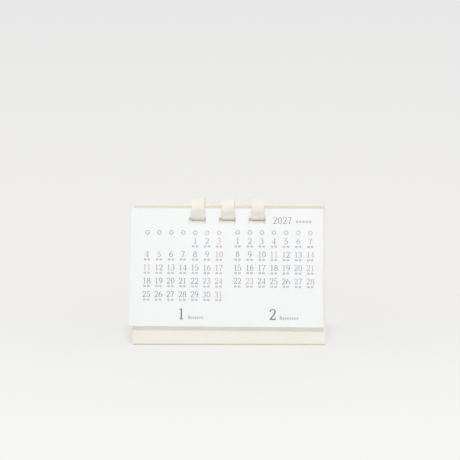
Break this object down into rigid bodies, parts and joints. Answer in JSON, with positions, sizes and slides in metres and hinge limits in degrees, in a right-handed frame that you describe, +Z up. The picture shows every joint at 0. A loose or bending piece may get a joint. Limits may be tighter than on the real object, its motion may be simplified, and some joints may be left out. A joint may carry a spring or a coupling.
{
  "type": "desk calendar",
  "caption": "Desk calendar: a folded card easel with two-month paper leaves that hang on paper straps over its ridge, turn over to the back, and a stand that folds flat.",
  "frame": {"origin": "on the table, midway between the front foot and the back foot, at the middle of the easel's width", "axes": "+X to the reader's right along the ridge, -Y towards the reader, whom the leaves face, +Z up"},
  "size_m": [0.1525, 0.077, 0.1095],
  "materials": {
    "cream_card": "matt uncoated card",
    "strap_paper": "matt uncoated paper",
    "leaf_paper": "matt smooth paper"
  },
  "bodies": {
    "easel_front": {"front_panel": "cream_card", "strap_left": "strap_paper", "strap_middle": "strap_paper", "strap_right": "strap_paper"},
    "easel_back": {"back_panel": "cream_card"},
    "easel_base": {"base_panel": "cream_card"},
    "leaf_nov_dec": {"leaf_nov_dec": "leaf_paper"},
    "leaf_sep_oct": {"leaf_sep_oct": "leaf_paper"},
    "leaf_jul_aug": {"leaf_jul_aug": "leaf_paper"},
    "leaf_may_jun": {"leaf_may_jun": "leaf_paper"},
    "leaf_mar_apr": {"leaf_mar_apr": "leaf_paper"},
    "leaf_jan_feb": {"leaf_jan_feb": "leaf_paper"}
  },
  "joints": [
    {"name": "ridge_fold", "type": "hinge", "parent": "easel_front", "child": "easel_back", "pos_m": [0, 0, 0.10235], "axis": [1, 0, 0], "range_deg": [-40, 0], "deforming": ["strap_left", "strap_middle", "strap_right"]},
    {"name": "base_fold", "type": "hinge", "parent": "easel_front", "child": "easel_base", "pos_m": [0, -0.03779, 0.00085], "axis": [1, 0, 0], "range_deg": [-110, 0]},
    {"name": "turn_nov_dec", "type": "hinge", "parent": "easel_front", "child": "leaf_nov_dec", "pos_m": [0, 0, 0.10867], "axis": [1, 0, 0], "range_deg": [-320, 0], "deforming": ["strap_left", "strap_middle", "strap_right"]},
    {"name": "turn_sep_oct", "type": "hinge", "parent": "leaf_nov_dec", "child": "leaf_sep_oct", "pos_m": [0, 0, 0.10867], "axis": [1, 0, 0], "range_deg": [-320, 0], "deforming": ["strap_left", "strap_middle", "strap_right"]},
    {"name": "turn_jul_aug", "type": "hinge", "parent": "leaf_sep_oct", "child": "leaf_jul_aug", "pos_m": [0, 0, 0.10867], "axis": [1, 0, 0], "range_deg": [-320, 0], "deforming": ["strap_left", "strap_middle", "strap_right"]},
    {"name": "turn_may_jun", "type": "hinge", "parent": "leaf_jul_aug", "child": "leaf_may_jun", "pos_m": [0, 0, 0.10867], "axis": [1, 0, 0], "range_deg": [-320, 0], "deforming": ["strap_left", "strap_middle", "strap_right"]},
    {"name": "turn_mar_apr", "type": "hinge", "parent": "leaf_may_jun", "child": "leaf_mar_apr", "pos_m": [0, 0, 0.10867], "axis": [1, 0, 0], "range_deg": [-320, 0], "deforming": ["strap_left", "strap_middle", "strap_right"]},
    {"name": "turn_jan_feb", "type": "hinge", "parent": "leaf_mar_apr", "child": "leaf_jan_feb", "pos_m": [0, 0, 0.10867], "axis": [1, 0, 0], "range_deg": [-320, 0], "deforming": ["strap_left", "strap_middle", "strap_right"]}
  ],
  "couplings": [
    {"joint": "base_fold", "follows": "ridge_fold", "ratio": 2.75}
  ]
}
